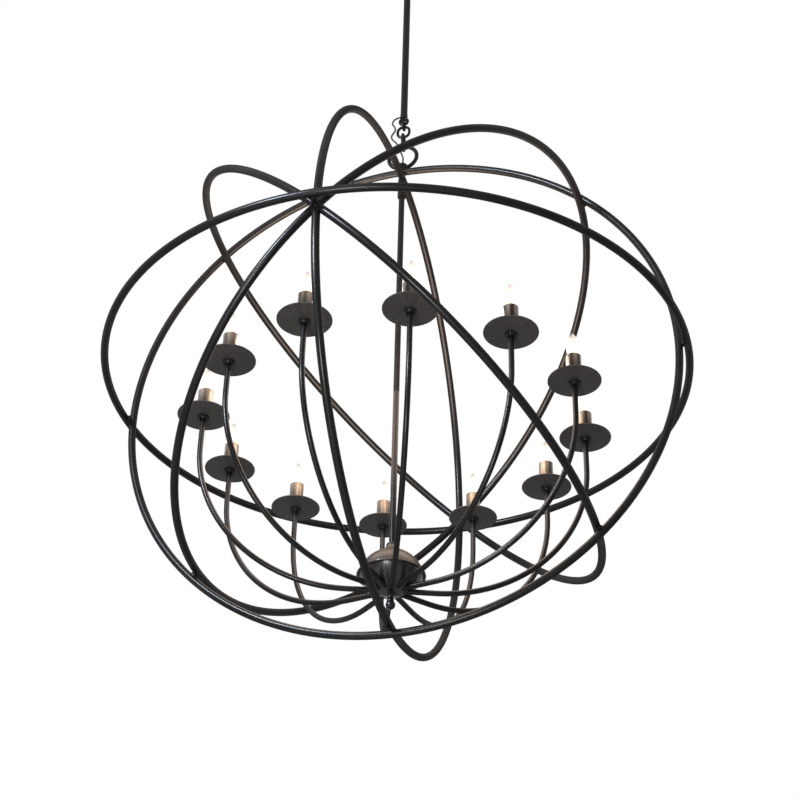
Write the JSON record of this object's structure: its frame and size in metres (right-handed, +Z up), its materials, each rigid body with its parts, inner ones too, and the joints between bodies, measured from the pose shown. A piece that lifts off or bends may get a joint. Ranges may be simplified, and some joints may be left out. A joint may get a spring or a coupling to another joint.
{
  "type": "chandelier",
  "caption": "Globe chandelier of black tube hoops round a centre rod, with curved candle arms, drip dishes and candle bulbs, hung from a ceiling canopy by a stem and chain links.",
  "frame": {"origin": "on the ceiling plane, in the middle of the ceiling crossbar", "axes": "+Z up to the ceiling, +Y along the line through the globe's two poles, +X along the crossbar"},
  "size_m": [1.2192, 1.2192, 1.8561],
  "materials": {
    "black_powder_coat": "satin black powder coat on steel tube and pressed sheet",
    "zinc_steel": "bright zinc plated steel",
    "bulb_glass": "blown candle bulb glass, lit warm white",
    "socket_resin": "moulded dark resin",
    "connector_plastic": "moulded plastic",
    "cord_insulation": "limp black cord insulation"
  },
  "bodies": {
    "ceiling_mount": {"ceiling_crossbar": "zinc_steel", "crossbar_locknut": "zinc_steel", "screw_collar": "black_powder_coat", "stem_tube": "black_powder_coat", "stem_eye": "black_powder_coat", "stem_wire": "cord_insulation", "supply_cord_at_eye": "cord_insulation"},
    "canopy": {"canopy": "black_powder_coat"},
    "canopy_ring": {"canopy_ring": "black_powder_coat"},
    "upper_link": {"upper_link": "black_powder_coat", "supply_cord_at_upper_link": "cord_insulation"},
    "middle_link": {"middle_link": "black_powder_coat", "supply_cord_at_middle_link": "cord_insulation"},
    "lower_link": {"lower_link": "black_powder_coat", "supply_cord_at_loop": "cord_insulation"},
    "globe": {"arm_01": "black_powder_coat", "arm_02": "black_powder_coat", "arm_03": "black_powder_coat", "arm_04": "black_powder_coat", "arm_05": "black_powder_coat", "arm_06": "black_powder_coat", "arm_07": "black_powder_coat", "arm_08": "black_powder_coat", "arm_09": "black_powder_coat", "arm_10": "black_powder_coat", "arm_11": "black_powder_coat", "arm_12": "black_powder_coat", "arm_cups": "black_powder_coat", "arm_plate": "zinc_steel", "candle_sleeves": "black_powder_coat", "centre_rod": "black_powder_coat", "drip_dishes": "black_powder_coat", "finial": "black_powder_coat", "fixture_loop": "black_powder_coat", "hoop_spacers": "black_powder_coat", "hub_bowl": "black_powder_coat", "hub_dome": "black_powder_coat", "hub_neck": "black_powder_coat", "inner_hoop": "black_powder_coat", "lamp_sockets": "socket_resin", "lamp_wires": "cord_insulation", "left_slant_hoop": "black_powder_coat", "middle_hoop": "black_powder_coat", "outer_hoop": "black_powder_coat", "right_slant_hoop": "black_powder_coat", "rod_coupling": "black_powder_coat", "top_nipple": "zinc_steel", "wire_connectors": "connector_plastic"},
    "bulb_01": {"bulb_01": "bulb_glass"},
    "bulb_02": {"bulb_02": "bulb_glass"},
    "bulb_03": {"bulb_03": "bulb_glass"},
    "bulb_04": {"bulb_04": "bulb_glass"},
    "bulb_05": {"bulb_05": "bulb_glass"},
    "bulb_06": {"bulb_06": "bulb_glass"},
    "bulb_07": {"bulb_07": "bulb_glass"},
    "bulb_08": {"bulb_08": "bulb_glass"},
    "bulb_09": {"bulb_09": "bulb_glass"},
    "bulb_10": {"bulb_10": "bulb_glass"},
    "bulb_11": {"bulb_11": "bulb_glass"},
    "bulb_12": {"bulb_12": "bulb_glass"}
  },
  "joints": [
    {"name": "canopy_slide", "type": "slide", "parent": "ceiling_mount", "child": "canopy", "axis": [0, 0, -1], "range_m": [0, 0.12]},
    {"name": "canopy_ring_turn", "type": "hinge", "parent": "canopy", "child": "canopy_ring", "pos_m": [0, 0, -0.036], "axis": [0, 0, 1], "continuous": true},
    {"name": "upper_link_swing", "type": "hinge", "parent": "ceiling_mount", "child": "upper_link", "pos_m": [0, 0, -0.53013], "axis": [1, 0, 0], "range_deg": [-20, 20], "deforming": ["supply_cord_at_eye"]},
    {"name": "middle_link_swing", "type": "hinge", "parent": "upper_link", "child": "middle_link", "pos_m": [0, 0, -0.54496], "axis": [0, 1, 0], "range_deg": [-20, 20], "deforming": ["supply_cord_at_upper_link"]},
    {"name": "lower_link_swing", "type": "hinge", "parent": "middle_link", "child": "lower_link", "pos_m": [0, 0, -0.57066], "axis": [1, 0, 0], "range_deg": [-20, 20], "deforming": ["supply_cord_at_middle_link"]},
    {"name": "globe_swing", "type": "hinge", "parent": "lower_link", "child": "globe", "pos_m": [0, 0, -0.60936], "axis": [0, 1, 0], "range_deg": [-20, 20], "deforming": ["supply_cord_at_loop"]},
    {"name": "bulb_01_turn", "type": "hinge", "parent": "globe", "child": "bulb_01", "pos_m": [0.12697, -0.36875, -1.333], "axis": [0, 0, 1], "range_deg": [0, 1080]},
    {"name": "bulb_02_turn", "type": "hinge", "parent": "globe", "child": "bulb_02", "pos_m": [0.29434, -0.25586, -1.333], "axis": [0, 0, 1], "range_deg": [0, 1080]},
    {"name": "bulb_03_turn", "type": "hinge", "parent": "globe", "child": "bulb_03", "pos_m": [0.38283, -0.07442, -1.333], "axis": [0, 0, 1], "range_deg": [0, 1080]},
    {"name": "bulb_04_turn", "type": "hinge", "parent": "globe", "child": "bulb_04", "pos_m": [0.36875, 0.12697, -1.333], "axis": [0, 0, 1], "range_deg": [0, 1080]},
    {"name": "bulb_05_turn", "type": "hinge", "parent": "globe", "child": "bulb_05", "pos_m": [0.25586, 0.29434, -1.333], "axis": [0, 0, 1], "range_deg": [0, 1080]},
    {"name": "bulb_06_turn", "type": "hinge", "parent": "globe", "child": "bulb_06", "pos_m": [0.07442, 0.38283, -1.333], "axis": [0, 0, 1], "range_deg": [0, 1080]},
    {"name": "bulb_07_turn", "type": "hinge", "parent": "globe", "child": "bulb_07", "pos_m": [-0.12697, 0.36875, -1.333], "axis": [0, 0, 1], "range_deg": [0, 1080]},
    {"name": "bulb_08_turn", "type": "hinge", "parent": "globe", "child": "bulb_08", "pos_m": [-0.29434, 0.25586, -1.333], "axis": [0, 0, 1], "range_deg": [0, 1080]},
    {"name": "bulb_09_turn", "type": "hinge", "parent": "globe", "child": "bulb_09", "pos_m": [-0.38283, 0.07442, -1.333], "axis": [0, 0, 1], "range_deg": [0, 1080]},
    {"name": "bulb_10_turn", "type": "hinge", "parent": "globe", "child": "bulb_10", "pos_m": [-0.36875, -0.12697, -1.333], "axis": [0, 0, 1], "range_deg": [0, 1080]},
    {"name": "bulb_11_turn", "type": "hinge", "parent": "globe", "child": "bulb_11", "pos_m": [-0.25586, -0.29434, -1.333], "axis": [0, 0, 1], "range_deg": [0, 1080]},
    {"name": "bulb_12_turn", "type": "hinge", "parent": "globe", "child": "bulb_12", "pos_m": [-0.07442, -0.38283, -1.333], "axis": [0, 0, 1], "range_deg": [0, 1080]}
  ]
}
